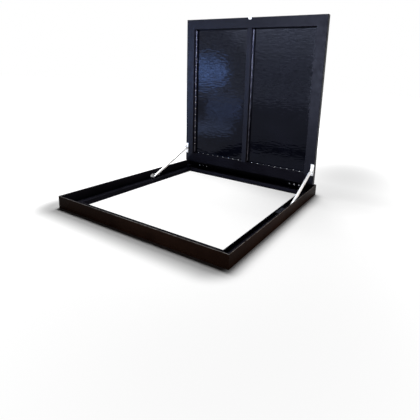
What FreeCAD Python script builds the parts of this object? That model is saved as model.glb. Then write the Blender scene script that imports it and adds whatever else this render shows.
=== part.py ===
import FreeCAD, Part
import math
import os

# Access cover: a square angle frame with a lid that stands open on two hinges and two gas struts.
# Origin at the middle of the frame's base, +Z up, hinges on the +Y side, all sizes in millimetres.
# The lid is drawn shut, flush with the frame's top, and then swung open about the hinge line.

V = FreeCAD.Vector

# Frame: unequal angle, wall outside and ledge inside, with a flat bar upright along the ledge's edge
frame_side = 1200.0
frame_height = 75.0
ledge_width = 90.0
angle_thickness = 8.0
root_radius = 6.0
toe_radius = 3.0
lip_height = 22.0
lip_thickness = 6.0
lip_radius = 1.0

# Lid: skin plate on box rails, with a stiffener and two folded liner pans
lid_gap = 4.0
open_angle = 90.0
plate_thickness = 3.0
plate_chamfer = 0.8
rail_width = 75.0
rail_wall = 2.5
rail_corner = 3.0
stiffener_width = 40.0
liner_thickness = 1.2
liner_flange = 16.0
liner_gap = 0.2
liner_relief = 4.0

# Corner rests that carry the shut lid
rest_size = 30.0
rest_chamfer = 2.0
rest_gap = 0.3

# Butt hinges standing in the gap behind the lid
hinge_inset = 170.0
hinge_length = 120.0
leaf_thickness = 2.5
leaf_play = 0.5
leaf_margin = 2.0
knuckle_count = 5
knuckle_gap = 0.3
hinge_pin_radius = 3.0
hinge_pin_clearance = 0.05
hinge_head_radius = 4.6
hinge_head_height = 1.5
hinge_screw_pitch = 38.0
hinge_screw_depth = 8.5

# Screws: countersunk on hinges and strike plate, pan heads on brackets
screw_radius = 2.5
screw_head_radius = 5.0
screw_clearance = 0.1
pan_head_radius = 4.5
pan_head_height = 2.6
pan_crown_radius = 2.5
pan_shoulder = 1.3
pan_screw_depth = 8.0

# Gas struts
tube_radius = 9.5
tube_wall = 1.5
tube_end_wall = 3.0
tube_shoulder = 3.0
strut_clearance = 2.5
lid_bracket_clearance = 4.0
strut_shut_length = 335.0
strut_lever = 114.0
rod_radius = 4.0
rod_parked = 8.0
gland_length = 18.0
gland_lip = 3.0
gland_clearance = 0.1
piston_length = 14.0
piston_stop = 3.0
piston_clearance = 0.2
piston_groove = 1.2
piston_land = 4.5
spigot_radius = 3.0
spigot_head = 2.0
sleeve_wall = 0.8
sleeve_clearance = 0.4
sleeve_cap = 1.5
sleeve_lap = 25.0
eye_radius = 9.0
eye_thickness = 10.0
eye_reach = 26.0
neck_radius = 4.6
neck_foot_radius = 6.0
stud_radius = 4.0
stud_clearance = 0.05
stud_collar_radius = 6.5
stud_end = 1.8
side_play = 0.3

# Strut brackets
bracket_thickness = 3.0
wall_plate_thickness = 2.5
wall_plate_length = 100.0
wall_plate_height = 24.0
wall_plate_corner = 6.0
wall_plate_lead = 15.0
wall_screw_lead = 38.0
wall_screw_pitch = 28.0
ear_inset = 0.5
ear_gap = 1.5
ear_half_foot = 24.0
ear_tip_radius = 9.5
ear_corner = 8.0
lid_bracket_width = 25.0
lid_bracket_length = 84.0
lid_screw_pitch = 64.0
bend_radius = 1.5

# Channel keeper on the right-hand ledge
keeper_length = 95.0
keeper_width = 30.0
keeper_height = 19.0
keeper_thickness = 3.0
keeper_lip_gap = 4.0
keeper_middle = 92.0

# Strike plate on the lid's front edge
strike_width = 24.0
strike_depth = 14.0
strike_lip = 24.0
strike_thickness = 2.0
strike_screw_pitch = 12.0
strike_screw_radius = 1.6
strike_head_radius = 3.2
strike_screw_depth = 6.0

# Places worked out from the sizes above
half_side = frame_side / 2
opening_half = half_side - ledge_width
wall_in = half_side - angle_thickness
lip_inner = ledge_width - toe_radius
lip_outer = lip_inner - lip_thickness
strut_room = strut_clearance + 2 * tube_radius + lid_bracket_clearance + bracket_thickness
lid_under = angle_thickness + strut_room
lid_thickness = frame_height - lid_under
plate_under = frame_height - plate_thickness
lid_half = wall_in - lid_gap
lid_front = -lid_half
lid_rear = wall_in - 2 * leaf_thickness - leaf_play
knuckle_radius = hinge_pin_radius + leaf_thickness
hinge_y = lid_rear + leaf_thickness + leaf_play / 2
hinge_z = frame_height + knuckle_radius + knuckle_gap
hinge_x = half_side - hinge_inset
frame_leaf_low = angle_thickness + root_radius + leaf_margin
lid_leaf_low = lid_under + leaf_margin
ear_out = lid_half - ear_inset
ear_in = ear_out - bracket_thickness
strut_x = ear_in - ear_gap - tube_radius
strut_height = angle_thickness + strut_clearance + tube_radius
upper_shut = V(0, hinge_y - strut_lever, strut_height)
lower = V(0, upper_shut.y - strut_shut_length, strut_height)
swing = math.radians(open_angle)
arm = upper_shut - V(0, hinge_y, hinge_z)
upper = V(0, hinge_y + arm.y * math.cos(swing) + arm.z * math.sin(swing),
          hinge_z - arm.y * math.sin(swing) + arm.z * math.cos(swing))
strut_open_length = (upper - lower).Length
strut_lean = math.degrees(math.atan2(upper.z - lower.z, upper.y - lower.y))
bore_radius = stud_radius + stud_clearance
tube_bore = tube_radius - tube_wall

pieces = {}


# Shared forms

def box(x0, x1, y0, y1, z0, z1):
    return Part.makeBox(x1 - x0, y1 - y0, z1 - z0, V(x0, y0, z0))


def bar(radius, x0, x1, y, z):
    return Part.makeCylinder(radius, x1 - x0, V(x0, y, z), V(1, 0, 0))


def turned(profile, base, direction):
    # Solid of revolution from (distance along direction, radius) points
    points = [V(radius, 0, along) for along, radius in profile]
    solid = Part.Face(Part.makePolygon(points + points[:1])).revolve(V(0, 0, 0), V(0, 0, 1), 360)
    solid.Placement = FreeCAD.Placement(base, FreeCAD.Rotation(V(0, 0, 1), direction))
    return solid


def rounded_wire(corners, place):
    # Closed outline through (u, v, radius) corners, each rounded by its own radius
    bends = []
    for index, (u, v, radius) in enumerate(corners):
        corner = place(u, v)
        back = (place(*corners[index - 1][:2]) - corner).normalize()
        ahead = (place(*corners[(index + 1) % len(corners)][:2]) - corner).normalize()
        half_turn = back.getAngle(ahead) / 2
        reach = radius / math.tan(half_turn)
        inset = radius / math.sin(half_turn) - radius
        middle = corner + (back + ahead).normalize() * inset
        bends.append((corner + back * reach, middle, corner + ahead * reach, radius))
    edges = []
    for index, (start, middle, end, radius) in enumerate(bends):
        following = bends[(index + 1) % len(bends)][0]
        if radius:
            edges.append(Part.Arc(start, middle, end).toShape())
        if (following - end).Length > 1e-6:
            edges.append(Part.LineSegment(end, following).toShape())
    return Part.Wire(edges)


def prism(corners, place, sweep):
    return Part.Face(rounded_wire(corners, place)).extrude(sweep)


def mitred_length(start, end, corners, width):
    # A length of section from start to end, inward on its left, with both ends mitred at 45 degrees
    along = (end - start).normalize()
    inward = V(-along.y, along.x, 0)
    low = min(v for u, v, radius in corners)
    high = max(v for u, v, radius in corners)
    length = prism(corners, lambda u, v: start + inward * u + V(0, 0, v), end - start)
    plan = [start, end, end + (inward - along) * width, start + (inward + along) * width]
    plan = [corner + V(0, 0, low) for corner in plan]
    wedge = Part.Face(Part.makePolygon(plan + plan[:1])).extrude(V(0, 0, high - low))
    return length.common(wedge)


def box_section(width, low, high):
    # Outer and inner outlines of a rectangular hollow section
    outer = [(0, low, rail_corner), (width, low, rail_corner),
             (width, high, rail_corner), (0, high, rail_corner)]
    bore = max(rail_corner - rail_wall, 0)
    inner = [(rail_wall, low + rail_wall, bore), (width - rail_wall, low + rail_wall, bore),
             (width - rail_wall, high - rail_wall, bore), (rail_wall, high - rail_wall, bore)]
    return outer, inner


def cut_all(shape, tools):
    for tool in tools:
        shape = shape.cut(tool)
    return shape


def opened(shape):
    moved = shape.copy()
    moved.rotate(V(0, hinge_y, hinge_z), V(1, 0, 0), -open_angle)
    return moved


def mirrored(shape):
    return shape.mirror(V(0, 0, 0), V(1, 0, 0))


def keep_pair(name, right):
    pieces[name + "_right"] = right
    pieces[name + "_left"] = mirrored(right)


# Screws and the holes they sit in

def countersunk(base, direction, radius, head, depth):
    cone = head - radius
    return turned([(0, 0), (0, head), (cone, radius), (depth, radius), (depth, 0)], base, direction)


def countersunk_hole(base, direction, radius, head, depth):
    wide = head + screw_clearance
    bore = radius + screw_clearance
    end = depth + screw_clearance
    profile = [(-wide, 0), (-wide, wide), (screw_clearance, wide), (screw_clearance + wide - bore, bore),
               (end, bore), (end, 0)]
    return turned(profile, base, direction)


def pan_head(base, direction):
    profile = [(-pan_head_height, 0), (-pan_head_height, pan_crown_radius),
               (-pan_shoulder, pan_head_radius), (0, pan_head_radius), (0, screw_radius),
               (pan_screw_depth, screw_radius), (pan_screw_depth, 0)]
    return turned(profile, base, direction)


def pan_hole(base, direction):
    end = pan_screw_depth + screw_clearance
    bore = screw_radius + screw_clearance
    return turned([(-screw_clearance, 0), (-screw_clearance, bore), (end, bore), (end, 0)], base, direction)


# Where each screw starts, on the right-hand side
hinge_screw_x = [hinge_x + step * hinge_screw_pitch for step in (-1, 0, 1)]
frame_leaf_face = hinge_y + leaf_play / 2
lid_leaf_face = hinge_y - leaf_play / 2
frame_hinge_seats = [V(x, frame_leaf_face, (frame_leaf_low + frame_height) / 2) for x in hinge_screw_x]
lid_hinge_seats = [V(x, lid_leaf_face, (lid_leaf_low + frame_height) / 2) for x in hinge_screw_x]
wall_plate_face = wall_in - wall_plate_thickness
wall_plate_low = angle_thickness + root_radius + strut_clearance
wall_plate_middle = wall_plate_low + wall_plate_height / 2
wall_seats = [V(wall_plate_face, lower.y + wall_screw_lead + step * wall_screw_pitch, wall_plate_middle)
              for step in (0, 1)]
lid_bracket_under = lid_under - bracket_thickness
lid_bracket_middle = ear_out - lid_bracket_width / 2
lid_seats = [V(lid_bracket_middle, upper_shut.y + side * lid_screw_pitch / 2, lid_bracket_under)
             for side in (-1, 1)]

frame_hinge_holes = [countersunk_hole(seat, V(0, 1, 0), screw_radius, screw_head_radius, hinge_screw_depth)
                     for seat in frame_hinge_seats]
lid_hinge_holes = [countersunk_hole(seat, V(0, -1, 0), screw_radius, screw_head_radius, hinge_screw_depth)
                   for seat in lid_hinge_seats]
wall_holes = [pan_hole(seat, V(1, 0, 0)) for seat in wall_seats]
lid_holes = [pan_hole(seat, V(0, 0, 1)) for seat in lid_seats]

# Keeper: a short channel welded on the right-hand ledge between the lip and the strut, open to the lip
keeper_x0 = half_side - lip_outer + keeper_lip_gap
keeper_x1 = keeper_x0 + keeper_width
keeper_y0 = keeper_middle - keeper_length / 2
keeper_top = angle_thickness + keeper_height
keeper_floor = angle_thickness + keeper_thickness
keeper_roof = keeper_top - keeper_thickness
keeper_web = keeper_x1 - keeper_thickness
keeper_section = [(keeper_x0, angle_thickness, 0), (keeper_x1, angle_thickness, bend_radius),
                  (keeper_x1, keeper_top, bend_radius), (keeper_x0, keeper_top, 0),
                  (keeper_x0, keeper_roof, 0), (keeper_web, keeper_roof, 0),
                  (keeper_web, keeper_floor, 0), (keeper_x0, keeper_floor, 0)]
pieces["side_keeper"] = prism(keeper_section, lambda x, z: V(x, keeper_y0, z), V(0, keeper_length, 0))

# Frame: four lengths of angle, mitred and welded at the corners
angle_section = [(0, 0, 0), (ledge_width, 0, 0), (ledge_width, angle_thickness, toe_radius),
                 (angle_thickness, angle_thickness, root_radius),
                 (angle_thickness, frame_height, toe_radius), (0, frame_height, 0)]
frame_corners = {"front": (V(-half_side, -half_side, 0), V(half_side, -half_side, 0)),
                 "right": (V(half_side, -half_side, 0), V(half_side, half_side, 0)),
                 "rear": (V(half_side, half_side, 0), V(-half_side, half_side, 0)),
                 "left": (V(-half_side, half_side, 0), V(-half_side, -half_side, 0))}
frame_holes = {"front": [],
               "right": wall_holes,
               "rear": frame_hinge_holes + [mirrored(hole) for hole in frame_hinge_holes],
               "left": [mirrored(hole) for hole in wall_holes]}
for side, (start, end) in frame_corners.items():
    member = mitred_length(start, end, angle_section, ledge_width)
    pieces["frame_" + side] = cut_all(member, frame_holes[side])

# Lip: flat bar welded upright on the ledge, mitred at the corners, its top clear of the shut lid
lip_top = angle_thickness + lip_height
lip_section = [(lip_outer, angle_thickness, 0), (lip_inner, angle_thickness, 0),
               (lip_inner, lip_top, lip_radius), (lip_outer, lip_top, lip_radius)]
for side, (start, end) in frame_corners.items():
    pieces["frame_lip_" + side] = mitred_length(start, end, lip_section, ledge_width)

# Corner rests: blocks welded on the ledge, clear of the angle's root, under the lid's corners
rest_out = wall_in - root_radius
rest_top = lid_under - rest_gap
rest_block = box(rest_out - rest_size, rest_out, rest_out - rest_size, rest_out, angle_thickness, rest_top)
rest_rim = [edge for edge in rest_block.Edges if all(abs(v.Z - rest_top) < 1e-6 for v in edge.Vertexes)]
rest_block = rest_block.makeChamfer(rest_chamfer, rest_rim)
for turns, place in enumerate(("rear_right", "rear_left", "front_left", "front_right")):
    rest = rest_block.copy()
    rest.rotate(V(0, 0, 0), V(0, 0, 1), 90 * turns)
    pieces["corner_rest_" + place] = rest

# Lid rails: rectangular hollow section, mitred at the corners, outer faces flush with the plate's edges
rail_outer, rail_inner = box_section(rail_width, lid_under, plate_under)
lid_corners = {"front": (V(-lid_half, lid_front, 0), V(lid_half, lid_front, 0)),
               "right": (V(lid_half, lid_front, 0), V(lid_half, lid_rear, 0)),
               "rear": (V(lid_half, lid_rear, 0), V(-lid_half, lid_rear, 0)),
               "left": (V(-lid_half, lid_rear, 0), V(-lid_half, lid_front, 0))}
strike_face = lid_under - strike_thickness
strike_seats = [V(side * strike_screw_pitch / 2, lid_front + strike_depth / 2, strike_face)
                for side in (-1, 1)]
strike_holes = [countersunk_hole(seat, V(0, 0, 1), strike_screw_radius, strike_head_radius,
                                 strike_screw_depth) for seat in strike_seats]
rail_holes = {"front": strike_holes,
              "right": lid_holes,
              "rear": lid_hinge_holes + [mirrored(hole) for hole in lid_hinge_holes],
              "left": [mirrored(hole) for hole in lid_holes]}
for side, (start, end) in lid_corners.items():
    outer = mitred_length(start, end, rail_outer, rail_width)
    hollow = mitred_length(start, end, rail_inner, rail_width)
    pieces["lid_rail_" + side] = opened(cut_all(outer, [hollow] + rail_holes[side]))

# Skin plate: welded on the rails, its upper rim eased
plate = box(-lid_half, lid_half, lid_front, lid_rear, plate_under, frame_height)
plate_rim = [edge for edge in plate.Edges if all(abs(v.Z - frame_height) < 1e-6 for v in edge.Vertexes)]
pieces["lid_plate"] = opened(plate.makeChamfer(plate_chamfer, plate_rim))

# Stiffener: hollow section from rail to rail along the middle
bay_front = lid_front + rail_width
bay_rear = lid_rear - rail_width
stiff_outer, stiff_inner = box_section(stiffener_width, lid_under, plate_under)
stiff_sections = [prism(section, lambda u, v: V(u - stiffener_width / 2, bay_front, v),
                        V(0, bay_rear - bay_front, 0)) for section in (stiff_outer, stiff_inner)]
pieces["lid_stiffener"] = opened(stiff_sections[0].cut(stiff_sections[1]))

# Liner pans: thin sheet against the plate, flanges folded down the rails, corners relieved
pan_x0 = stiffener_width / 2 + liner_gap
pan_x1 = lid_half - rail_width - liner_gap
pan_y0 = bay_front + liner_gap
pan_y1 = bay_rear - liner_gap
pan_low = plate_under - liner_flange
pan = box(pan_x0, pan_x1, pan_y0, pan_y1, pan_low, plate_under)
pan_hollow = box(pan_x0 + liner_thickness, pan_x1 - liner_thickness, pan_y0 + liner_thickness,
                 pan_y1 - liner_thickness, pan_low, plate_under - liner_thickness)
pan_reliefs = [Part.makeCylinder(liner_relief, liner_flange, V(x, y, pan_low))
               for x in (pan_x0, pan_x1) for y in (pan_y0, pan_y1)]
keep_pair("lid_liner", opened(cut_all(pan, [pan_hollow] + pan_reliefs)))

# Strike plate: folded over the front rail's lower edge, two countersunk screws
strike_section = [(lid_front - strike_thickness, lid_under + strike_lip, 0),
                  (lid_front - strike_thickness, strike_face, bend_radius),
                  (lid_front + strike_depth, strike_face, 0), (lid_front + strike_depth, lid_under, 0),
                  (lid_front, lid_under, 0), (lid_front, lid_under + strike_lip, 0)]
strike = prism(strike_section, lambda y, z: V(-strike_width / 2, y, z), V(strike_width, 0, 0))
strike_screws = [countersunk(seat + V(0, 0, screw_clearance), V(0, 0, 1), strike_screw_radius,
                             strike_head_radius, strike_screw_depth - screw_clearance)
                 for seat in strike_seats]
pieces["strike_plate"] = opened(cut_all(strike, strike_holes))
pieces["strike_screws"] = opened(Part.makeCompound(strike_screws))


# Hinges: frame leaf on the rear wall, lid leaf on the rear rail, knuckles in turn on one pin

def hinge_leaf(y0, y1, low, first):
    # One leaf with every second knuckle, counted from first
    knuckle_length = hinge_length / knuckle_count
    left_end = hinge_x - hinge_length / 2
    leaf = box(left_end, left_end + hinge_length, y0, y1, low, frame_height)
    for index in range(first, knuckle_count, 2):
        x0 = left_end + index * knuckle_length + (knuckle_gap / 2 if index else 0)
        x1 = left_end + (index + 1) * knuckle_length - (knuckle_gap / 2 if index < knuckle_count - 1 else 0)
        leaf = leaf.fuse(box(x0, x1, y0, y1, frame_height, hinge_z))
        leaf = leaf.fuse(bar(knuckle_radius, x0, x1, hinge_y, hinge_z))
    bore = bar(hinge_pin_radius + hinge_pin_clearance, left_end, left_end + hinge_length, hinge_y, hinge_z)
    return leaf.cut(bore).removeSplitter()


frame_leaf = cut_all(hinge_leaf(frame_leaf_face, wall_in, frame_leaf_low, 0), frame_hinge_holes)
lid_leaf = cut_all(hinge_leaf(lid_rear, lid_leaf_face, lid_leaf_low, 1), lid_hinge_holes)
keep_pair("hinge_frame_leaf", frame_leaf)
keep_pair("hinge_lid_leaf", opened(lid_leaf))

pin_end = hinge_length + hinge_head_height
pin_profile = [(-hinge_head_height, 0), (-hinge_head_height, hinge_head_radius), (0, hinge_head_radius),
               (0, hinge_pin_radius), (hinge_length, hinge_pin_radius), (hinge_length, hinge_head_radius),
               (pin_end, hinge_head_radius), (pin_end, 0)]
keep_pair("hinge_pin", turned(pin_profile, V(hinge_x - hinge_length / 2, hinge_y, hinge_z), V(1, 0, 0)))


def hinge_screws(seats, direction):
    right = [countersunk(seat + direction * screw_clearance, direction, screw_radius, screw_head_radius,
                         hinge_screw_depth - screw_clearance) for seat in seats]
    return Part.makeCompound(right + [mirrored(screw) for screw in right])


pieces["hinge_frame_screws"] = hinge_screws(frame_hinge_seats, V(0, 1, 0))
pieces["hinge_lid_screws"] = opened(hinge_screws(lid_hinge_seats, V(0, -1, 0)))

# Strut brackets on the frame: plates screwed to the side walls
plate_y0 = lower.y - wall_plate_lead
plate_y1 = plate_y0 + wall_plate_length
plate_z1 = wall_plate_low + wall_plate_height
wall_corners = [(plate_y0, wall_plate_low), (plate_y1, wall_plate_low),
                (plate_y1, plate_z1), (plate_y0, plate_z1)]
wall_outline = [(y, z, wall_plate_corner) for y, z in wall_corners]
wall_plate = prism(wall_outline, lambda y, z: V(wall_plate_face, y, z), V(wall_plate_thickness, 0, 0))
keep_pair("strut_frame_bracket", cut_all(wall_plate, wall_holes))
wall_screws = [pan_head(seat, V(1, 0, 0)) for seat in wall_seats]
wall_screws += [mirrored(screw) for screw in wall_screws]
pieces["strut_frame_screws"] = Part.makeCompound(wall_screws)

# Strut brackets on the lid: folded angle, its ear tapering to the pivot pin
ear_tip = strut_height - ear_tip_radius
ear_x0 = ear_out - lid_bracket_width
bracket_section = [(ear_x0, lid_under, 0), (ear_out, lid_under, bend_radius + bracket_thickness),
                   (ear_out, ear_tip, 0), (ear_in, ear_tip, 0), (ear_in, lid_bracket_under, bend_radius),
                   (ear_x0, lid_bracket_under, 0)]
bracket_y0 = upper_shut.y - lid_bracket_length / 2
bracket_y1 = upper_shut.y + lid_bracket_length / 2
ear_y0 = upper_shut.y - ear_half_foot
ear_y1 = upper_shut.y + ear_half_foot
bracket_side = [(bracket_y0, lid_under, 0), (bracket_y0, lid_bracket_under, 0),
                (ear_y0, lid_bracket_under, 0), (upper_shut.y - ear_tip_radius, ear_tip, ear_corner),
                (upper_shut.y + ear_tip_radius, ear_tip, ear_corner), (ear_y1, lid_bracket_under, 0),
                (bracket_y1, lid_bracket_under, 0), (bracket_y1, lid_under, 0)]
folded = prism(bracket_section, lambda x, z: V(x, bracket_y0, z), V(0, lid_bracket_length, 0))
silhouette = prism(bracket_side, lambda y, z: V(ear_x0, y, z), V(lid_bracket_width, 0, 0))
ear_hole = bar(bore_radius, ear_in - ear_gap, ear_out + ear_gap, upper_shut.y, strut_height)
keep_pair("strut_lid_bracket", opened(cut_all(folded.common(silhouette), lid_holes + [ear_hole])))
lid_screws = [pan_head(seat, V(0, 0, 1)) for seat in lid_seats]
lid_screws += [mirrored(screw) for screw in lid_screws]
pieces["strut_lid_screws"] = opened(Part.makeCompound(lid_screws))

# Pivot pins: riveted in the ear above, and below a stud that stays with the rod eye
eye_out = strut_x + eye_thickness / 2
eye_in = strut_x - eye_thickness / 2
shank_end = eye_in - side_play
pin_reach = ear_out - shank_end
collar_end = ear_out - eye_out - side_play
lid_pin_profile = [(-stud_end, 0), (-stud_end, stud_collar_radius), (0, stud_collar_radius),
                   (0, stud_radius), (bracket_thickness, stud_radius),
                   (bracket_thickness, stud_collar_radius), (collar_end, stud_collar_radius),
                   (collar_end, stud_radius), (pin_reach, stud_radius), (pin_reach, stud_collar_radius),
                   (pin_reach + stud_end, stud_collar_radius), (pin_reach + stud_end, 0)]
lid_pin = turned(lid_pin_profile, V(ear_out, upper_shut.y, strut_height), V(-1, 0, 0))
keep_pair("strut_lid_pin", opened(lid_pin))

stud_reach = wall_plate_face - side_play - shank_end
stud_shoulder = eye_out + side_play - shank_end
stud_profile = [(-stud_end, 0), (-stud_end, stud_collar_radius), (0, stud_collar_radius), (0, stud_radius),
                (stud_shoulder, stud_radius), (stud_shoulder, stud_collar_radius),
                (stud_reach, stud_collar_radius), (stud_reach, 0)]
keep_pair("strut_stud", turned(stud_profile, V(shank_end, lower.y, lower.z), V(1, 0, 0)))


# Gas struts: tube hung from the lid pin, rod reaching down to the frame in a guard sleeve

def placed(shape, pivot):
    # From a level strut with its pivot at the origin to the leaning one
    moved = shape.copy()
    moved.rotate(V(0, 0, 0), V(1, 0, 0), strut_lean)
    moved.translate(pivot)
    return moved


def strut_eye(direction):
    neck = turned([(0, 0), (0, neck_radius), (eye_radius, neck_radius), (eye_reach, neck_foot_radius),
                   (eye_reach, 0)], V(strut_x, 0, 0), direction)
    eye = bar(eye_radius, eye_in, eye_out, 0, 0).fuse(neck)
    return eye.cut(bar(bore_radius, eye_in, eye_out, 0, 0))


down = V(0, -1, 0)
up = V(0, 1, 0)
axle = V(strut_x, 0, 0)
tube_end = strut_shut_length - eye_reach - rod_parked
tube_profile = [(eye_reach, 0), (eye_reach, tube_radius - tube_shoulder),
                (eye_reach + tube_shoulder, tube_radius), (tube_end, tube_radius), (tube_end, tube_bore),
                (eye_reach + tube_end_wall, tube_bore), (eye_reach + tube_end_wall, 0)]
keep_pair("strut_tube", placed(turned(tube_profile, axle, down), upper))
keep_pair("strut_tube_eye", placed(strut_eye(down), upper))

gland_start = tube_end - gland_length
gland_bore = rod_radius + gland_clearance
gland_rim = tube_bore - gland_clearance
gland_profile = [(gland_start, gland_bore), (gland_start, gland_rim), (tube_end, gland_rim),
                 (tube_end, tube_radius), (tube_end + gland_lip, gland_rim),
                 (tube_end + gland_lip, gland_bore)]
keep_pair("strut_gland", placed(turned(gland_profile, axle, down), upper))

piston_face = strut_open_length - gland_start + piston_stop
piston_back = piston_face + piston_length
rod_end = piston_back + spigot_head
rod_profile = [(eye_reach, 0), (eye_reach, rod_radius), (piston_face, rod_radius),
               (piston_face, spigot_radius), (piston_back, spigot_radius), (piston_back, rod_radius),
               (rod_end, rod_radius), (rod_end, 0)]
keep_pair("strut_rod", placed(turned(rod_profile, axle, up), lower))
keep_pair("strut_rod_eye", placed(strut_eye(up), lower))

piston_rim = tube_bore - piston_clearance
piston_bore = spigot_radius + stud_clearance
groove_start = piston_face + piston_land
groove_end = piston_back - piston_land
piston_profile = [(piston_face, piston_bore), (piston_face, piston_rim), (groove_start, piston_rim),
                  (groove_start, piston_rim - piston_groove), (groove_end, piston_rim - piston_groove),
                  (groove_end, piston_rim), (piston_back, piston_rim), (piston_back, piston_bore)]
keep_pair("strut_piston", placed(turned(piston_profile, axle, up), lower))

# Guard sleeves: thin tubes clamped under the rod eyes, which slide over the strut tubes
sleeve_hole = rod_radius + stud_clearance
sleeve_bore = tube_radius + sleeve_clearance
sleeve_rim = sleeve_bore + sleeve_wall
sleeve_floor = eye_reach + sleeve_cap
sleeve_end = strut_open_length - tube_end + sleeve_lap
sleeve_profile = [(eye_reach, sleeve_hole), (eye_reach, sleeve_rim), (sleeve_end, sleeve_rim),
                  (sleeve_end, sleeve_bore), (sleeve_floor, sleeve_bore), (sleeve_floor, sleeve_hole)]
keep_pair("strut_sleeve", placed(turned(sleeve_profile, axle, up), lower))

# One file for each piece
os.makedirs("parts", exist_ok=True)
for name, shape in pieces.items():
    shape.exportStep("parts/" + name + ".step")
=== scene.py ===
import math
import bmesh
import bpy
from mathutils import Matrix, Vector, noise


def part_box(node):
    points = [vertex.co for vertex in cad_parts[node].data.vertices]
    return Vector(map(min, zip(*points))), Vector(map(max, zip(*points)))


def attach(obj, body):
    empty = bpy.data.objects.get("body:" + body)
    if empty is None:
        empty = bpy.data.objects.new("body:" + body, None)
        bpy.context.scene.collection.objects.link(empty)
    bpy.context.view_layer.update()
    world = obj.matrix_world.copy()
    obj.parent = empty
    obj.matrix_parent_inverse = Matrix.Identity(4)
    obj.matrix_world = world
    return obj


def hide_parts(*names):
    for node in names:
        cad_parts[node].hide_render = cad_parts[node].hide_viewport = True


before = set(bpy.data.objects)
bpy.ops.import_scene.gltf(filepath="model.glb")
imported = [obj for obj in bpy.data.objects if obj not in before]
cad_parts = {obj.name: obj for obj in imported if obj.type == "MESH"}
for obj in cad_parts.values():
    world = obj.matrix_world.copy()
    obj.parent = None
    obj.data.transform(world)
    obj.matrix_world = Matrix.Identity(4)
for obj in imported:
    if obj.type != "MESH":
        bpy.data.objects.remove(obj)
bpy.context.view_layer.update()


# Frame: four lengths of rolled steel angle, each an upright wall and an inward ledge, with eased edges.
# Mitred and welded into a square kerb, then sprayed with enamel, blue-black inside and brown-black outside;
# the brown outside is a painted reflection of a brown floor.
# Along the top of the wall a pale line is painted on the outer arris, a painted highlight broken into
# patches.

# Outer colours: dark enamel with a painted brown reflection of a floor
outer_enamel_and_reflection_deep = (0.0078, 0.0036, 0.0024, 1)
outer_enamel_and_reflection_pale = (0.0140, 0.0068, 0.0044, 1)
inside_deep = (0.0072, 0.0070, 0.0105, 1)
inside_pale = (0.0108, 0.0106, 0.0165, 1)
# Painted highlight along the outer arris
rim_painted_highlight = (0.1500, 0.1420, 0.1350, 1)
frame_smooth, frame_rough = 0.16, 0.28
frame_specular = 0.008
frame_peel = 0.00003
patch_scale, patch_detail = 5.0, 5.0
gloss_scale = 26.0
peel_scale, peel_detail = 420.0, 2.0
cloud_low, cloud_high = 0.3, 0.7
outer_skin = (0.0035, 0.0020)
rim_band = (0.0030, 0.0015)
arris_band = (0.0025, 0.0012)
highlight_patch_scale, highlight_patch_detail = 38.0, 4.0
highlight_patch_start, highlight_patch_end = 0.25, 0.6
frame_arris = 0.0009
arris_segments = 2
arris_angle = math.radians(50)
join_distance = 1e-5
frame_low, frame_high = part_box("frame_front")
outside_face = -frame_low.y
wall_top = frame_high.z


def new_finish(name):
    # A material, its tree and surface shader, and the piece's own coordinates in metres
    finish = bpy.data.materials.new(name)
    finish.use_nodes = True
    tree = finish.node_tree
    place = tree.nodes.new("ShaderNodeTexCoord").outputs["Object"]
    return finish, tree, tree.nodes["Principled BSDF"], place


def cloud(tree, place, scale, detail=3.0, stretch=(1, 1, 1)):
    # Soft noise over the piece, with its own stretch along each axis
    mapping = tree.nodes.new("ShaderNodeMapping")
    mapping.inputs["Scale"].default_value = stretch
    tree.links.new(place, mapping.inputs["Vector"])
    texture = tree.nodes.new("ShaderNodeTexNoise")
    texture.inputs["Scale"].default_value = scale
    texture.inputs["Detail"].default_value = detail
    tree.links.new(mapping.outputs["Vector"], texture.inputs["Vector"])
    return texture.outputs["Fac"]


def tint(tree, factor, low, high, start=0.35, end=0.65):
    # Two colours, mixed where the factor runs from start to end
    blend = tree.nodes.new("ShaderNodeValToRGB")
    blend.color_ramp.elements[0].position = start
    blend.color_ramp.elements[0].color = low
    blend.color_ramp.elements[1].position = end
    blend.color_ramp.elements[1].color = high
    tree.links.new(factor, blend.inputs["Fac"])
    return blend.outputs["Color"]


def ramp(tree, value, start, end, low=0.0, high=1.0, shape="LINEAR"):
    # Low where the value is below start, high where it is past end
    spread = tree.nodes.new("ShaderNodeMapRange")
    spread.interpolation_type = shape
    spread.inputs["From Min"].default_value = start
    spread.inputs["From Max"].default_value = end
    spread.inputs["To Min"].default_value = low
    spread.inputs["To Max"].default_value = high
    tree.links.new(value, spread.inputs["Value"])
    return spread.outputs["Result"]


def combine(tree, operation, first, *second):
    # One sum, product or other measure of one or two values
    measure = tree.nodes.new("ShaderNodeMath")
    measure.operation = operation
    for index, value in enumerate((first, *second)):
        tree.links.new(value, measure.inputs[index])
    return measure.outputs["Value"]


def layered(tree, factor, below, above):
    # The colour above where the factor is one; it may be plain or come from a texture
    mix = tree.nodes.new("ShaderNodeMix")
    mix.data_type = "RGBA"
    tree.links.new(factor, mix.inputs["Factor"])
    tree.links.new(below, mix.inputs["A"])
    if isinstance(above, tuple):
        mix.inputs["B"].default_value = above
    else:
        tree.links.new(above, mix.inputs["B"])
    return mix.outputs["Result"]


def relief(tree, shader, height, depth, strength=1.0):
    bump = tree.nodes.new("ShaderNodeBump")
    bump.inputs["Strength"].default_value = strength
    bump.inputs["Distance"].default_value = depth
    tree.links.new(height, bump.inputs["Height"])
    tree.links.new(bump.outputs["Normal"], shader.inputs["Normal"])


def sprayed_skin(tree, shader, place, smooth, rough, specular, peel):
    # The surface of a sprayed coat, with uneven gloss and orange peel
    gloss = cloud(tree, place, gloss_scale)
    tree.links.new(ramp(tree, gloss, cloud_low, cloud_high, smooth, rough), shader.inputs["Roughness"])
    shader.inputs["Specular IOR Level"].default_value = specular
    relief(tree, shader, cloud(tree, place, peel_scale, peel_detail), peel)


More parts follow.
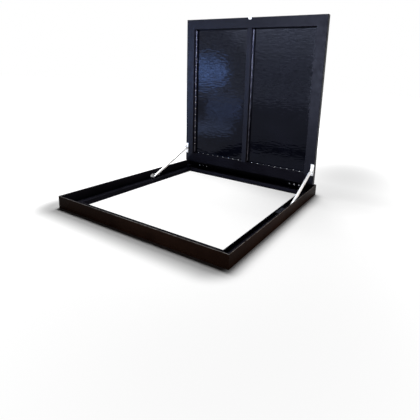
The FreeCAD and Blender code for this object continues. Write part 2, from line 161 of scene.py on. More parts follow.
def square_reach(tree, place):
    # Distance from the middle, along the level axis on which it is longer, and the height
    axes = tree.nodes.new("ShaderNodeSeparateXYZ")
    tree.links.new(place, axes.inputs["Vector"])
    sizes = [combine(tree, "ABSOLUTE", axes.outputs[axis]) for axis in ("X", "Y")]
    return combine(tree, "MAXIMUM", *sizes), axes.outputs["Z"]


def close_to(tree, value, edge, band):
    # Nothing further below the edge than the band's first depth, one above its second
    return ramp(tree, value, edge - band[0], edge - band[1])


def frame_coat(name):
    # Two colours that meet just under the outer face, the outer one holding a painted brown reflection, and a
    # painted highlight in patches along the outer arris
    finish, tree, shader, place = new_finish(name)
    patches = cloud(tree, place, patch_scale, patch_detail)
    outside = tint(tree, patches, outer_enamel_and_reflection_deep, outer_enamel_and_reflection_pale)
    inside = tint(tree, patches, inside_deep, inside_pale)
    reach, height = square_reach(tree, place)
    colour = layered(tree, close_to(tree, reach, outside_face, outer_skin), inside, outside)
    # Painted highlight: a pale line along the outer arris on the wall's top, in patches
    arris_highlight = ramp(tree, cloud(tree, place, highlight_patch_scale, highlight_patch_detail), highlight_patch_start, highlight_patch_end)
    arris_highlight = combine(tree, "MULTIPLY", arris_highlight, close_to(tree, height, wall_top, rim_band))
    arris_highlight = combine(tree, "MULTIPLY", arris_highlight, close_to(tree, reach, outside_face, arris_band))
    tree.links.new(layered(tree, arris_highlight, colour, rim_painted_highlight), shader.inputs["Base Color"])
    sprayed_skin(tree, shader, place, frame_smooth, frame_rough, frame_specular, frame_peel)
    return finish


def dress(finish, *nodes):
    for node in nodes:
        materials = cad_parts[node].data.materials
        materials.clear()
        materials.append(finish)


def ease_edges(width, *nodes):
    # Small rounded arrises that catch the light
    for node in nodes:
        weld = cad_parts[node].modifiers.new("join_faces", "WELD")
        weld.merge_threshold = join_distance
        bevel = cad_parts[node].modifiers.new("eased_edges", "BEVEL")
        bevel.width = width
        bevel.segments = arris_segments
        bevel.limit_method = "ANGLE"
        bevel.angle_limit = arris_angle
        bevel.harden_normals = True


frame_enamel = frame_coat("frame_enamel")
frame_sides = ["frame_front", "frame_right", "frame_rear", "frame_left"]
dress(frame_enamel, *frame_sides)
ease_edges(frame_arris, *frame_sides)


# Ledge lip: four lengths of flat bar standing along the ledge's inner edge, just below the shut lid.
# Mitred at the corners, welded down on the ledge and sprayed with the frame.

lips = ["frame_lip_front", "frame_lip_right", "frame_lip_rear", "frame_lip_left"]
dress(frame_enamel, *lips)


# Frame welds: arc-weld beads that close the mitres of ledge, wall and lip in each inside corner.
# Mild steel weld metal, laid in overlapping ripples and painted over with the frame.

bead_pitch = 0.0032
bead_rings = 4
bead_arc = 8
bead_lag = 0.6
bead_trough = 0.84
bead_tip = 0.04
bead_taper = 8
ledge_bead = (0.0070, 0.0016)
corner_bead = (0.0062, 0.0022)
lip_bead = (0.0046, 0.0015)
lip_bead_foot = 0.001
lip_bead_head = 0.002
corner_bead_sunk = 0.001
corner_bead_margin = 0.004

rest_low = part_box("corner_rest_rear_right")[0]
ledge_top = rest_low.z
lip_low, lip_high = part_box("frame_lip_right")
wall_in = -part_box("strut_frame_bracket_left")[0].x


def new_piece(name, bm, finish, body, smooth_angle=40):
    # A mesh piece that rides on a body, smooth except across sharp edges
    mesh = bpy.data.meshes.new(name)
    bmesh.ops.recalc_face_normals(bm, faces=bm.faces)
    bm.to_mesh(mesh)
    bm.free()
    mesh.shade_smooth()
    mesh.set_sharp_from_angle(angle=math.radians(smooth_angle))
    mesh.materials.append(finish)
    made = bpy.data.objects.new(name, mesh)
    bpy.context.scene.collection.objects.link(made)
    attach(made, body)
    return made


def add_bead(bm, start, end, outward, width, height):
    # A rippled bead from start to end, rounded over towards outward and tapered at both ends
    along = end - start
    across = along.cross(outward).normalized()
    count = max(2, round(along.length / bead_pitch)) * bead_rings
    rings = []
    for step in range(count + 1):
        share = step / count
        fullness = min(1, bead_taper * min(share, 1 - share))
        taper = math.sqrt(max(bead_tip, math.sin(math.pi * fullness / 2)))
        ripple = bead_trough + (1 - bead_trough) * abs(math.sin(math.pi * step / bead_rings))
        ring = []
        for index in range(bead_arc + 1):
            angle = math.pi * index / bead_arc
            lag = math.sin(angle) * bead_pitch * bead_lag
            spot = start + along * share + along.normalized() * lag
            spot += across * (math.cos(angle) * width / 2 * taper * ripple)
            spot += outward * (math.sin(angle) * height * taper * ripple)
            ring.append(bm.verts.new(spot))
        rings.append(ring)
    for ring, following in zip(rings, rings[1:]):
        for index in range(bead_arc):
            bm.faces.new((ring[index], ring[index + 1], following[index + 1], following[index]))
        bm.faces.new((ring[0], following[0], following[bead_arc], ring[bead_arc]))
    bm.faces.new(rings[0])
    bm.faces.new(rings[-1])


def at_height(spot, height):
    return spot + Vector((0, 0, height))


for side_x in (-1, 1):
    for side_y in (-1, 1):
        corner = Vector((side_x, side_y, 0))
        inward = -corner.normalized()
        bead = bmesh.new()
        add_bead(bead, at_height(corner * lip_high.x, ledge_top), at_height(corner * rest_low.x, ledge_top),
                 Vector((0, 0, 1)), *ledge_bead)
        lip_corner = corner * lip_low.x
        add_bead(bead, at_height(lip_corner, ledge_top + lip_bead_foot),
                 at_height(lip_corner, lip_high.z - lip_bead_head), inward, *lip_bead)
        wall_corner = corner * (wall_in - corner_bead_sunk)
        add_bead(bead, at_height(wall_corner, ledge_top + corner_bead_margin),
                 at_height(wall_corner, wall_top - corner_bead_margin), inward, *corner_bead)
        where = ("front" if side_y < 0 else "rear") + ("_left" if side_x < 0 else "_right")
        new_piece("corner_welds_" + where, bead, frame_enamel, "frame")


# Corner rests: four steel blocks on the ledge that carry the shut lid.
# Sawn from square bar, chamfered on top, welded down along both inner edges and painted with the frame.

rest_bead = (0.0046, 0.0016)
rest_arris = 0.0004
rests = ["corner_rest_front_left", "corner_rest_front_right", "corner_rest_rear_left",
         "corner_rest_rear_right"]
dress(frame_enamel, *rests)
ease_edges(rest_arris, *rests)
for rest in rests:
    low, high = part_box(rest)
    inner_x = min((low.x, high.x), key=abs)
    inner_y = min((low.y, high.y), key=abs)
    outer_x = max((low.x, high.x), key=abs)
    outer_y = max((low.y, high.y), key=abs)
    corner = Vector((inner_x, inner_y, low.z))
    bead = bmesh.new()
    for end in (Vector((outer_x, inner_y, low.z)), Vector((inner_x, outer_y, low.z))):
        away = Vector((-math.copysign(1, inner_x), -math.copysign(1, inner_y), 0))
        away -= (end - corner).normalized() * away.dot((end - corner).normalized())
        add_bead(bead, corner, end, at_height(away, 1).normalized(), *rest_bead)
    new_piece(rest.replace("corner_rest", "rest_welds"), bead, frame_enamel, "frame")


# Keeper: a short length of channel on the right-hand ledge, between the lip and the strut.
# Pressed from sheet steel and welded down by its lower flange.
# Its zinc plating has dulled, and is still smooth enough to mirror the lid.

keeper_dull = (0.34, 0.33, 0.31, 1)
keeper_bright = (0.50, 0.48, 0.46, 1)
keeper_arris = 0.0003
plate_patch_scale, plate_patch_detail = 60.0, 6.0
plate_patch_start, plate_patch_end = 0.3, 0.6
drawn_line_scale = 900.0
scratch_strength = 0.6
along_y = (1, 0.15, 1)


def plated_steel(name, dull, bright, smooth, rough, scratch, stretch=(1, 1, 1), metal=1.0):
    # Bright metal with cloudy patches and fine drawn lines, milky where metal is below one
    finish, tree, shader, place = new_finish(name)
    patches = cloud(tree, place, plate_patch_scale, plate_patch_detail)
    colour = tint(tree, patches, dull, bright, plate_patch_start, plate_patch_end)
    tree.links.new(colour, shader.inputs["Base Color"])
    lines = cloud(tree, place, drawn_line_scale, stretch=stretch)
    tree.links.new(ramp(tree, lines, cloud_low, cloud_high, smooth, rough), shader.inputs["Roughness"])
    shader.inputs["Metallic"].default_value = metal
    relief(tree, shader, lines, scratch, scratch_strength)
    return finish


keeper_zinc = plated_steel("keeper_zinc", keeper_dull, keeper_bright, smooth=0.10, rough=0.20,
                           scratch=0.00001, stretch=along_y)
dress(keeper_zinc, "side_keeper")
ease_edges(keeper_arris, "side_keeper")


# Lid rails and stiffener: hollow section, four rails mitred round the rim and one bar between them.
# Welded into a grid, ground flush and sprayed with a charcoal paint, whose reflections are given a painted
# blue tint.
# On the rear rail, close over the hinges, the paint is a copy with less gloss and a duller tint, painted
# shade.

charcoal_deep = (0.0022, 0.0020, 0.0034, 1)
charcoal_pale = (0.0048, 0.0046, 0.0070, 1)
# Painted reflection: a blue tint laid on the paints' reflections
blue_reflection_tint = (0.68, 0.74, 1.0, 1)
# Painted shade: the rear rail's duller reflection tint
painted_shade_tint = (0.85, 0.80, 1.0, 1)
charcoal_peel = 0.00004


def sprayed_enamel(name, deep, pale, smooth, rough, specular, peel, reflection_colour=(1, 1, 1, 1)):
    # Paint with faint colour patches, a sprayed surface and a painted tint on its reflections
    finish, tree, shader, place = new_finish(name)
    patches = cloud(tree, place, patch_scale, patch_detail)
    tree.links.new(tint(tree, patches, deep, pale), shader.inputs["Base Color"])
    sprayed_skin(tree, shader, place, smooth, rough, specular, peel)
    shader.inputs["Specular Tint"].default_value = reflection_colour
    return finish


charcoal_enamel = sprayed_enamel("charcoal_enamel", charcoal_deep, charcoal_pale, smooth=0.4, rough=0.52,
                                 specular=0.11, peel=charcoal_peel, reflection_colour=blue_reflection_tint)
# A darker copy of the charcoal paint, painted shade on the rear rail
rear_rail_painted_shade = sprayed_enamel("rear_rail_painted_shade", charcoal_deep, charcoal_pale, smooth=0.45, rough=0.58,
                               specular=0.022, peel=charcoal_peel, reflection_colour=painted_shade_tint)
dress(charcoal_enamel, "lid_stiffener", "lid_rail_front", "lid_rail_right", "lid_rail_left")
dress(rear_rail_painted_shade, "lid_rail_rear")


# Skin plate: one sheet of steel over the whole lid, the face that is walked on when it is shut.
# Welded to the rails from inside, its upper rim eased, and sprayed with the same charcoal paint.

plate_arris = 0.0004
dress(charcoal_enamel, "lid_plate")
ease_edges(plate_arris, "lid_plate")


# Liner pans: two trays of thin sheet, one in each bay, with flanges folded down the rails.
# Stove-enamelled a glossy blue-black; the faces that turn right are paler, painted light from the right.
# The rollers that flattened the sheet left it rippled from side to side.

liner_deep = (0.0010, 0.0011, 0.0022, 1)
liner_pale = (0.0020, 0.0021, 0.0042, 1)
# Painted light: paler colours on the faces that turn right
flange_painted_light_deep = (0.0360, 0.0380, 0.0580, 1)
flange_painted_light_pale = (0.1200, 0.1250, 0.1600, 1)
flange_turned, flange_square = 0.5, 0.9
flange_light_scale, flange_light_detail = 30.0, 4.0
liner_smooth, liner_rough = 0.06, 0.11
liner_specular = 0.11
liner_peel = 0.00001
liner_sheet = 0.0012
liner_relief = 0.0040
liner_bend = 0.0016
bend_segments = 3
bend_angle = math.radians(60)
ripple_depth = 0.00055
ripple_wide = 0.038
ripple_tall = 0.010
ripple_fade = 0.020
ripple_layer = 3.7
fine_share = 0.5
fine_across, fine_upward = 2.1, 1.7
fine_layer = 9.2
ripple_columns = 60
ripple_rows = 300


def liner_coat(name):
    finish, tree, shader, place = new_finish(name)
    enamel = tint(tree, cloud(tree, place, patch_scale, patch_detail), liner_deep, liner_pale)
    # Faces that turn right get the paler painted light
    flange_light = tint(tree, cloud(tree, place, flange_light_scale, flange_light_detail), flange_painted_light_deep, flange_painted_light_pale)
    facing = tree.nodes.new("ShaderNodeSeparateXYZ")
    tree.links.new(tree.nodes.new("ShaderNodeNewGeometry").outputs["Normal"], facing.inputs["Vector"])
    flange = ramp(tree, facing.outputs["X"], flange_turned, flange_square)
    tree.links.new(layered(tree, flange, enamel, flange_light), shader.inputs["Base Color"])
    sprayed_skin(tree, shader, place, liner_smooth, liner_rough, liner_specular, liner_peel)
    # The same painted blue tint on the liner's reflections
    shader.inputs["Specular Tint"].default_value = blue_reflection_tint
    return finish


def spaced(start, end, count):
    return [start + (end - start) * index / count for index in range(count + 1)]


def ripple_at(x, z):
    # Long low waves with finer ones on them, as a share of the ripples' depth
    across, upward = x / ripple_wide, z / ripple_tall
    wave = noise.noise(Vector((across, upward, ripple_layer)))
    wave += fine_share * noise.noise(Vector((across * fine_across, upward * fine_upward, fine_layer)))
    return max(0, 0.5 + 0.5 * wave)


def rippled_pan(name, node):
    # The seen side of the pan as one sheet, thickened away from the eye
    low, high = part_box(node)
    web = high.y - liner_sheet
    left, right = low.x + liner_sheet, high.x - liner_sheet
    foot, head = low.z + liner_sheet, high.z - liner_sheet
    notch = liner_relief - liner_sheet
    across = [left] + spaced(left + notch, right - notch, ripple_columns) + [right]
    upward = [foot] + spaced(foot + notch, head - notch, ripple_rows) + [head]
    bm = bmesh.new()
    sheet = {}
    for column, x in enumerate(across):
        for row, z in enumerate(upward):
            edge = min(x - left, right - x, z - foot, head - z)
            lift = ripple_depth * min(1, edge / ripple_fade) * ripple_at(x, z)
            sheet[column, row] = bm.verts.new((x, web - lift, z))
    last_column, last_row = len(across) - 1, len(upward) - 1
    for column in range(last_column):
        for row in range(last_row):
            if column in (0, last_column - 1) and row in (0, last_row - 1):
                continue
            bm.faces.new((sheet[column, row], sheet[column + 1, row],
                          sheet[column + 1, row + 1], sheet[column, row + 1]))
    for column in (0, last_column):
        lip = [bm.verts.new((across[column], low.y, upward[row])) for row in range(1, last_row)]
        for row in range(1, last_row - 1):
            bm.faces.new((sheet[column, row], sheet[column, row + 1], lip[row], lip[row - 1]))
    for row in (0, last_row):
        lip = [bm.verts.new((across[column], low.y, upward[row])) for column in range(1, last_column)]
        for column in range(1, last_column - 1):
            bm.faces.new((sheet[column, row], sheet[column + 1, row], lip[column], lip[column - 1]))
    bmesh.ops.delete(bm, geom=[vert for vert in bm.verts if not vert.link_faces], context="VERTS")
    pan = new_piece(name, bm, liner_enamel, "lid")
    middle = min(pan.data.polygons, key=lambda face: (face.center - (low + high) / 2).length)
    if middle.normal.y > 0:
        pan.data.flip_normals()
    bend = pan.modifiers.new("folded_bend", "BEVEL")
    bend.width = liner_bend
    bend.segments = bend_segments
    bend.limit_method = "ANGLE"
    bend.angle_limit = bend_angle
    thick = pan.modifiers.new("sheet_thickness", "SOLIDIFY")
    thick.thickness = liner_sheet
    thick.offset = -1
    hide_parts(node)


liner_enamel = liner_coat("liner_enamel")
rippled_pan("liner_pan_left", "lid_liner_left")
rippled_pan("liner_pan_right", "lid_liner_right")


# Rivets: blind aluminium rivets through the liner flanges into the rails, evenly spaced.
# They run up the outer side and along the foot of each pan.
# Each has a low domed head with the broken stem's dimple in the middle.

aluminium_dull = (0.66, 0.67, 0.69, 1)
aluminium_bright = (0.92, 0.93, 0.94, 1)
rivet_radius = 0.0040
rivet_height = 0.0015
rivet_edge = 0.0003
rivet_sunk = 0.0005
rivet_stem = 0.0012
rivet_dimple = 0.0006
dimple_taper = 0.9
dome_rings = 4
rivet_steps = 20
side_rivets = 18
side_margin = 0.077
end_rivets = 9
end_margin = 0.043

rivet_aluminium = plated_steel("rivet_aluminium", aluminium_dull, aluminium_bright, smooth=0.25, rough=0.45,
                               scratch=0.00002, metal=0.5)


def add_lathe(bm, profile, base, axis, steps):
    # Surface turned about axis from base, through (distance along axis, radius) points
    turn = axis.to_track_quat("Z", "Y")
    rings = []
    for along, radius in profile:
        if radius == 0:
            rings.append([bm.verts.new(base + axis * along)])
            continue
        ring = []
        for step in range(steps):
            angle = 2 * math.pi * step / steps
            spot = Vector((radius * math.cos(angle), radius * math.sin(angle), along))
            ring.append(bm.verts.new(base + turn @ spot))
        rings.append(ring)
    for ring, following in zip(rings, rings[1:]):
        for step in range(steps):
            after = (step + 1) % steps
            corners = [ring[step % len(ring)], ring[after % len(ring)],
                       following[after % len(following)], following[step % len(following)]]
            bm.faces.new(list(dict.fromkeys(corners)))
    return rings


dimple_floor = rivet_height - rivet_dimple
rivet_profile = [(dimple_floor, 0), (dimple_floor, rivet_stem * dimple_taper), (rivet_height, rivet_stem)]
for dome_ring in range(1, dome_rings + 1):
    share = dome_ring / dome_rings
    dome = rivet_edge + (rivet_height - rivet_edge) * math.sqrt(1 - share ** 2)
    rivet_profile.append((dome, rivet_stem + (rivet_radius - rivet_stem) * share))
rivet_profile += [(-rivet_sunk, rivet_radius), (-rivet_sunk, 0)]

for side in ("left", "right"):
    low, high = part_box("lid_liner_" + side)
    level = (low.y + high.y) / 2
    rivets = bmesh.new()
    rail_side = low.x + liner_sheet if side == "left" else high.x - liner_sheet
    inward = Vector((1, 0, 0)) if side == "left" else Vector((-1, 0, 0))
    for z in spaced(low.z + side_margin, high.z - side_margin, side_rivets - 1):
        add_lathe(rivets, rivet_profile, Vector((rail_side, level, z)), inward, rivet_steps)
    foot = low.z + liner_sheet
    for x in spaced(low.x + end_margin, high.x - end_margin, end_rivets - 1):
        add_lathe(rivets, rivet_profile, Vector((x, level, foot)), Vector((0, 0, 1)), rivet_steps)
    new_piece("liner_rivets_" + side, rivets, rivet_aluminium, "lid")


# Hinges: two steel butt hinges, one leaf on the frame's rear wall and one on the lid's rear rail.
# The leaves are rolled round a headed pin and painted over with the piece that they are screwed to.

leaf_arris = 0.0003
frame_leaves = ["hinge_frame_leaf_left", "hinge_frame_leaf_right"]
lid_leaves = ["hinge_lid_leaf_left", "hinge_lid_leaf_right"]
dress(frame_enamel, "hinge_pin_left", "hinge_pin_right", *frame_leaves)
dress(charcoal_enamel, *lid_leaves)
ease_edges(leaf_arris, *frame_leaves, *lid_leaves)


# Hinge screws: zinc-plated countersunk machine screws, three through each leaf, gone dull grey.
# Their flat heads sit just below the leaf's face, with a cross recess for the driver.

weathered_dull = (0.20, 0.20, 0.21, 1)
weathered_bright = (0.36, 0.36, 0.37, 1)
screw_shank = 0.0025
screw_steps = 32
screw_smooth_angle = 30
recess_arm = 0.62
recess_width = 0.2
recess_depth = 0.42
recess_taper = 0.7
flat_first_spin, flat_next_spin = 0.4, 1.1
same_spot = 1e-6


def separate_solids(node):
    # Lowest and highest corner of each solid in a group of like pieces
    bm = bmesh.new()
    bm.from_mesh(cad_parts[node].data)
    bmesh.ops.remove_doubles(bm, verts=bm.verts, dist=same_spot)
    waiting = set(bm.verts)
    boxes = []
    while waiting:
        found = [waiting.pop()]
        for vert in found:
            for edge in vert.link_edges:
                other = edge.other_vert(vert)
                if other in waiting:
                    waiting.remove(other)
                    found.append(other)
        spots = [vert.co for vert in found]
        boxes.append((Vector([min(spot[axis] for spot in spots) for axis in range(3)]),
                      Vector([max(spot[axis] for spot in spots) for axis in range(3)])))
    bm.free()
    return sorted(boxes, key=lambda box: tuple(round(value, 4) for value in box[0]))


def screw_sizes(low, high, axis):
    # Head radius, length, and the middle of the head's face, of a screw driven along axis
    main = max(range(3), key=lambda index: abs(axis[index]))
    radius = (high - low)[(main + 1) % 3] / 2
    length = (high - low)[main]
    return radius, length, (low + high) / 2 - axis * length / 2


def add_crosshead(bm, profile, base, axis, spin):
    # A turned screw whose top, the first ring of its profile, has a tapered cross recess
    rings = add_lathe(bm, profile, base, axis, screw_steps)
    turn = axis.to_track_quat("Z", "Y") @ Matrix.Rotation(spin, 3, "Z").to_quaternion()
    top, radius = profile[0]
    arm, half = recess_arm * radius, recess_width * radius / 2
    outline = []
    for quarter in range(4):
        swing = Matrix.Rotation(quarter * math.pi / 2, 3, "Z")
        outline += [swing @ Vector(spot) for spot in ((half, half, 0), (half, arm, 0), (-half, arm, 0))]
    sunk = top + recess_depth * radius
    mouth = [bm.verts.new(base + turn @ at_height(spot, top)) for spot in outline]
    floor = [bm.verts.new(base + turn @ at_height(spot * recess_taper, sunk)) for spot in outline]
    for index in range(len(outline)):
        after = (index + 1) % len(outline)
        bm.faces.new((mouth[index], mouth[after], floor[after], floor[index]))
    for loops in ([rings[0], mouth], [floor]):
        edges = []
        for loop in loops:
            for index, vert in enumerate(loop):
                following = loop[(index + 1) % len(loop)]
                edges.append(bm.edges.get((vert, following)) or bm.edges.new((vert, following)))
        bmesh.ops.triangle_fill(bm, use_beauty=True, edges=edges)


def countersunk_screws(name, node, axis, shank, body, finish):
    # Detailed screws in the place of a group of plain ones, all driven along axis
    bm = bmesh.new()
    for number, (low, high) in enumerate(separate_solids(node)):
        radius, length, base = screw_sizes(low, high, axis)
        profile = [(0, radius), (radius - shank, shank), (length, shank), (length, 0)]
        add_crosshead(bm, profile, base, axis, flat_first_spin + flat_next_spin * number)
    made = new_piece(name, bm, finish, body, screw_smooth_angle)
    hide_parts(node)


dull_zinc = plated_steel("dull_zinc", weathered_dull, weathered_bright, smooth=0.3, rough=0.5,
                         scratch=0.00002, metal=0.7)
countersunk_screws("hinge_crossheads_frame", "hinge_frame_screws", Vector((0, 1, 0)), screw_shank,
                   "frame", dull_zinc)
countersunk_screws("hinge_crossheads_lid", "hinge_lid_screws", Vector((0, 0, 1)), screw_shank,
                   "lid", dull_zinc)


# Strike plate: a small zinc-plated angle on the middle of the lid's free edge, where the lock bites.
# Folded from sheet and held by two short countersunk screws.

zinc_dull = (0.66, 0.67, 0.69, 1)
zinc_bright = (0.92, 0.93, 0.94, 1)
strike_shank = 0.0016
strike_arris = 0.0002
bright_zinc = plated_steel("bright_zinc", zinc_dull, zinc_bright, smooth=0.25, rough=0.45,
                           scratch=0.00002, stretch=along_y, metal=0.6)
dress(bright_zinc, "strike_plate")
ease_edges(strike_arris, "strike_plate")
countersunk_screws("strike_crossheads", "strike_screws", Vector((0, 1, 0)), strike_shank,
                   "lid", bright_zinc)


# Strut brackets: a flat plate on each side wall of the frame and a folded ear on each side rail of the lid.
# Blanked from sheet steel and zinc plated, with the ear's pivot pin riveted over at both ends.

bracket_arris = 0.0003
brackets = ["strut_frame_bracket_left", "strut_frame_bracket_right", "strut_lid_bracket_left",
            "strut_lid_bracket_right"]
dress(bright_zinc, "strut_lid_pin_left", "strut_lid_pin_right", *brackets)
ease_edges(bracket_arris, *brackets)


# Bracket screws: zinc-plated pan-head screws, two in each bracket.
# Their crowned heads stand proud, with the same cross recess as the hinge screws.

pan_head = 0.0026
pan_crown = 0.0025
pan_shoulder = 0.0013
pan_first_spin, pan_next_spin = 0.9, 0.7


def pan_screws(name, node, body, axis_of):
    bm = bmesh.new()
    for number, (low, high) in enumerate(separate_solids(node)):
        axis = axis_of((low + high) / 2)
        radius, length, base = screw_sizes(low, high, axis)
        profile = [(0, pan_crown), (pan_head - pan_shoulder, radius), (pan_head, radius),
                   (pan_head, screw_shank), (length, screw_shank), (length, 0)]
        add_crosshead(bm, profile, base, axis, pan_first_spin + pan_next_spin * number)
    made = new_piece(name, bm, bright_zinc, body, screw_smooth_angle)
    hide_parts(node)


pan_screws("bracket_screws_frame", "strut_frame_screws", "frame",
           lambda middle: Vector((math.copysign(1, middle.x), 0, 0)))
pan_screws("bracket_screws_lid", "strut_lid_screws", "lid", lambda middle: Vector((0, 1, 0)))


# Gas struts: a pressure tube hung from the lid, and a polished rod that slides out of it in a guard sleeve.
# Drawn steel tube and sleeve lacquered silver, hard-chromed rod, moulded black gland and die-cast zinc eyes.

tube_dull = (0.80, 0.81, 0.82, 1)
tube_bright = (0.92, 0.93, 0.94, 1)
chrome_dull = (0.78, 0.79, 0.80, 1)
chrome_bright = (0.92, 0.92, 0.93, 1)
gland_deep = (0.010, 0.010, 0.011, 1)
gland_pale = (0.020, 0.020, 0.022, 1)
along_tube = (1, 0.05, 0.1)

tube_steel = plated_steel("tube_steel", tube_dull, tube_bright, smooth=0.24, rough=0.38, scratch=0.00001,
                          stretch=along_tube, metal=0.4)
rod_chrome = plated_steel("rod_chrome", chrome_dull, chrome_bright, smooth=0.05, rough=0.12,
                          scratch=0.000004)
gland_plastic = sprayed_enamel("gland_plastic", gland_deep, gland_pale, smooth=0.45, rough=0.6,
                               specular=0.4, peel=0.00004)
for side in ("left", "right"):
    dress(tube_steel, "strut_tube_" + side, "strut_sleeve_" + side)
    dress(rod_chrome, "strut_rod_" + side)
    dress(gland_plastic, "strut_gland_" + side)
    for part in ("tube_eye", "rod_eye", "stud", "piston"):
        dress(bright_zinc, "strut_" + part + "_" + side)


# Studio: a white floor that fades into a white surround, with painted shade round the frame and a painted
# shadow behind the lid on the right.
# Two open boxes hang overhead, and the others have grids that keep their light off the floor and rear wall.
# Those at the front left draw the cool streaks in the liner pans, and two stand on the right.

floor_reach = 30.0
floor_grey = (0.5, 0.5, 0.5, 1)
floor_lift = 0.6
opening_fade = 0.02
# The glow fades in a ring round the frame: painted shade, where the real shadow also shows
pool_half = 0.54
pool_shift = (0.04, 0.03, 0)
pool_near, pool_far = 0.08, 0.20
distant_lift = 0.5
distant_near, distant_far = 0.36, 2.46
# Painted shadow of the lid on the floor behind it
shade_middle = (0.60, 1.25)
shade_reach = (0.9, 1.5)
shade_depth = 0.95
surround_light = 0.01

floor_mesh = bpy.data.meshes.new("studio_floor")
floor_mesh.from_pydata([(-floor_reach, -floor_reach, 0), (floor_reach, -floor_reach, 0),
                        (floor_reach, floor_reach, 0), (-floor_reach, floor_reach, 0)], [], [(0, 1, 2, 3)])
floor = bpy.data.objects.new("studio_floor", floor_mesh)
bpy.context.scene.collection.objects.link(floor)


def seen_directly(tree):
    # One for rays from the camera, from mirrors and through glass, and nothing for other light
    path = tree.nodes.new("ShaderNodeLightPath").outputs
    mirrored = combine(tree, "MAXIMUM", path["Is Camera Ray"], path["Is Glossy Ray"])
    return combine(tree, "MAXIMUM", mirrored, path["Is Transmission Ray"])


def moved(tree, place, shift, scale=(1, 1, 1)):
    mapping = tree.nodes.new("ShaderNodeMapping")
    mapping.inputs["Location"].default_value = shift
    mapping.inputs["Scale"].default_value = scale
    tree.links.new(place, mapping.inputs["Vector"])
    return mapping.outputs["Vector"]


def rounded_reach(tree, place, half):
    # Distance outside a square of so much half width, which rounds the corners of its outline
    beyond = place
    for operation, other in (("ABSOLUTE", 0), ("SUBTRACT", half), ("MAXIMUM", 0)):
        step = tree.nodes.new("ShaderNodeVectorMath")
        step.operation = operation
        step.inputs[1].default_value = (other, other, other)
        tree.links.new(beyond, step.inputs[0])
        beyond = step.outputs["Vector"]
    length = tree.nodes.new("ShaderNodeVectorMath")
    length.operation = "LENGTH"
    tree.links.new(beyond, length.inputs[0])
    return length.outputs["Value"]


def painted_lid_shadow(tree, place):
    # A painted oval shadow on the floor, darkest in its middle
    scale = (1 / shade_reach[0], 1 / shade_reach[1], 0)
    shift = (-shade_middle[0] * scale[0], -shade_middle[1] * scale[1], 0)
    oval = tree.nodes.new("ShaderNodeTexGradient")
    oval.gradient_type = "SPHERICAL"
    tree.links.new(moved(tree, place, shift, scale), oval.inputs["Vector"])
    return ramp(tree, oval.outputs["Fac"], 0.0, 1.0, 1.0, 1 - shade_depth, "SMOOTHSTEP")


def studio_white(name):
    # Matt grey that looks white: it glows a little, except in a soft ring round the object, where the glow
    # fades and paints shade as well as letting the real shadow show
    finish, tree, shader, place = new_finish(name)
    tree.nodes.remove(shader)
    frame_reach = square_reach(tree, place)[0]
    pool_reach = rounded_reach(tree, moved(tree, place, pool_shift), pool_half)
    outer = ramp(tree, pool_reach, pool_near, pool_far, 0.0, floor_lift, "SMOOTHSTEP")
    inner = ramp(tree, frame_reach, outside_face - opening_fade, outside_face, floor_lift, 0.0)
    distant = ramp(tree, pool_reach, distant_near, distant_far, 0.0, distant_lift, "SMOOTHSTEP")
    lift = combine(tree, "ADD", combine(tree, "ADD", outer, inner), distant)
    lift = combine(tree, "MULTIPLY", lift, painted_lid_shadow(tree, place))
    matt = tree.nodes.new("ShaderNodeBsdfDiffuse")
    matt.inputs["Color"].default_value = floor_grey
    glow = tree.nodes.new("ShaderNodeEmission")
    tree.links.new(combine(tree, "MULTIPLY", seen_directly(tree), lift), glow.inputs["Strength"])
    both = tree.nodes.new("ShaderNodeAddShader")
    tree.links.new(matt.outputs["BSDF"], both.inputs[0])
    tree.links.new(glow.outputs["Emission"], both.inputs[1])
    tree.links.new(both.outputs["Shader"], tree.nodes["Material Output"].inputs["Surface"])
    return finish


floor_mesh.materials.append(studio_white("studio_white"))

world = bpy.data.worlds.new("studio_surround")
world.use_nodes = True
bpy.context.scene.world = world
world_tree = world.node_tree
surround = world_tree.nodes["Background"]
surround.inputs["Color"].default_value = (1, 1, 1, 1)
surround_level = ramp(world_tree, seen_directly(world_tree), 0.0, 1.0, surround_light, 1.0)
world_tree.links.new(surround_level, surround.inputs["Strength"])

shielded = bpy.data.collections.new("shielded")
shielded.objects.link(floor)
for node in ("frame_rear", *frame_leaves):
    shielded.objects.link(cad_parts[node])
for entry in shielded.collection_objects:
    entry.light_linking.link_state = "EXCLUDE"
flank_lit = bpy.data.collections.new("flank_lit")
for node in ("lid_rail_left", "lid_stiffener", "strut_tube_left", "strut_sleeve_left"):
    flank_lit.objects.link(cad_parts[node])
for pan in ("liner_pan_left", "liner_pan_right"):
    flank_lit.objects.link(bpy.data.objects[pan])


def soft_box(name, spot, target, width, height, brightness, colour, cone=180, slats=1, fading=1,
             mirrored=True, lit=shielded):
    # A rectangular lamp whose face shines as many times brighter than white as brightness says.
    # A cone under 180 degrees is a grid, which also keeps the light to the pieces that lit allows.
    # Slats are level, with as much dark between them; a fading lamp is rounded and dims in steps
    turn = (Vector(target) - Vector(spot)).to_track_quat("-Z", "Y")
    for slat in range(slats):
        rise = (2 * slat + 1) / slats - 1
        rounding = 1 - rise ** 2 if fading > 1 else 1
        for step in range(fading):
            lamp = bpy.data.lights.new(name, "AREA")
            lamp.shape = "RECTANGLE"
            lamp.size = width * math.sqrt(rounding) * (step + 1) / fading
            lamp.size_y = height / slats / (1 if slats == 1 else 2)
            lamp.color = colour
            lamp.energy = brightness * rounding / fading * math.pi * lamp.size * height / slats
            made = bpy.data.objects.new(name, lamp)
            if cone < 180:
                half = math.radians(cone) / 2
                lamp.spread = 2 * half
                lamp.energy *= (math.tan(half) - half) / math.tan(half)
                made.light_linking.receiver_collection = lit
            made.location = Vector(spot) + turn @ Vector((0, rise * height / 2, 0))
            made.rotation_euler = turn.to_euler()
            made.visible_camera = False
            made.visible_glossy = mirrored
            bpy.context.scene.collection.objects.link(made)


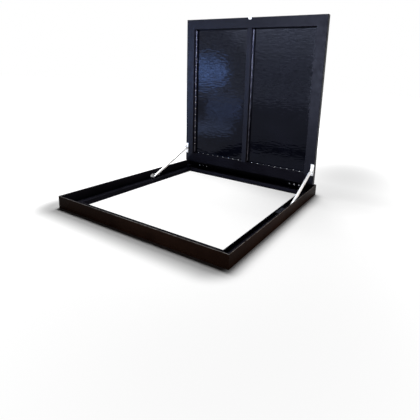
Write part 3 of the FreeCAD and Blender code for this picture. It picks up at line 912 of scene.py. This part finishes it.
white = (1.0, 1.0, 1.0)
near_white = (0.95, 0.96, 1.0)
pale_blue = (0.90, 0.94, 1.0)
lavender = (0.72, 0.78, 1.0)
soft_blue = (0.5, 0.66, 1.0)
blue = (0.40, 0.58, 1.0)
deep_blue = (0.28, 0.50, 1.0)
amber = (1.0, 0.80, 0.64)
soft_box("top_box", (-0.90, 0.5, 3.0), (-0.90, 0.5, 0), 2.2, 0.8, 16.6, white)
soft_box("rear_box", (-0.60, 2.2, 3.0), (-0.60, 2.2, 0), 2.2, 1.8, 11.0, white)
soft_box("cool_box", (-2.20, -1.75, 0.90), (-0.4, 0.58, 0.86), 0.85, 0.64, 52.0, deep_blue,
         cone=50, slats=5, fading=4)
soft_box("mid_box", (-1.72, -1.70, 0.33), (-0.225, 0.58, 0.56), 0.6, 0.55, 11.0, blue,
         cone=50, slats=5, fading=3)
soft_box("low_box", (-1.5, -0.9, 0.10), (-0.4, 0.58, 0.37), 0.8, 0.30, 11.0, soft_blue,
         cone=60, slats=4, fading=3)
soft_box("broad_box", (-0.85, -2.4, 2.1), (0.3, 0.58, 1.1), 2.6, 2.2, 17.0, pale_blue,
         cone=60, slats=11, fading=3)
soft_box("edge_box", (-0.12, -2.5, 1.05), (0.55, 0.55, 0.9), 0.5, 1.5, 42.0, near_white, cone=50)
soft_box("side_box", (-2.8, -1.6, 0.85), (-0.55, 0.55, 0.7), 0.5, 0.9, 42.0, blue, cone=50)
soft_box("pale_screen", (-1.6, -2.6, 1.15), (0, 0.58, 0.9), 3.2, 1.5, 1.6, pale_blue, cone=70, slats=8)
soft_box("flank_box", (3.2, -0.30, 1.30), (-0.3, 0.56, 1.16), 0.8, 0.6, 360.0, lavender, cone=20,
         mirrored=False, lit=flank_lit)
soft_box("warm_box", (2.7, -0.2, 0.14), (0.6, 0.0, 0.06), 1.2, 0.2, 50.0, amber, cone=60, mirrored=False)


# Camera: the photograph's place and lens, at standing height in front and to the right, tilted a little down.
# It leans by a few degrees, and its picture is shifted so that the object stands above the middle.

camera_spot = Vector((1.26846, -1.70002, 0.80956))
camera_turn = math.radians(27.889)
camera_tilt = math.radians(12.115)
camera_lean = math.radians(3.101)
picture_width = 420
lens_pixels = 329.88
centre_across, centre_down = 252.70, 150.68
sensor_width = 36.0

ahead = Vector((-math.sin(camera_turn) * math.cos(camera_tilt), math.cos(camera_turn) * math.cos(camera_tilt),
                -math.sin(camera_tilt)))
level_right = Vector((math.cos(camera_turn), math.sin(camera_turn), 0))
level_up = level_right.cross(ahead)
right = level_right * math.cos(camera_lean) + level_up * math.sin(camera_lean)
up = level_up * math.cos(camera_lean) - level_right * math.sin(camera_lean)
lens = bpy.data.cameras.new("photo_camera")
lens.sensor_width = sensor_width
lens.lens = lens_pixels / picture_width * sensor_width
lens.shift_x = (picture_width / 2 - centre_across) / picture_width
lens.shift_y = (centre_down - picture_width / 2) / picture_width
camera = bpy.data.objects.new("photo_camera", lens)
camera.matrix_world = Matrix.Translation(camera_spot) @ Matrix((right, up, -ahead)).transposed().to_4x4()
bpy.context.scene.collection.objects.link(camera)
bpy.context.scene.camera = camera
bpy.context.scene.view_settings.view_transform = "Standard"
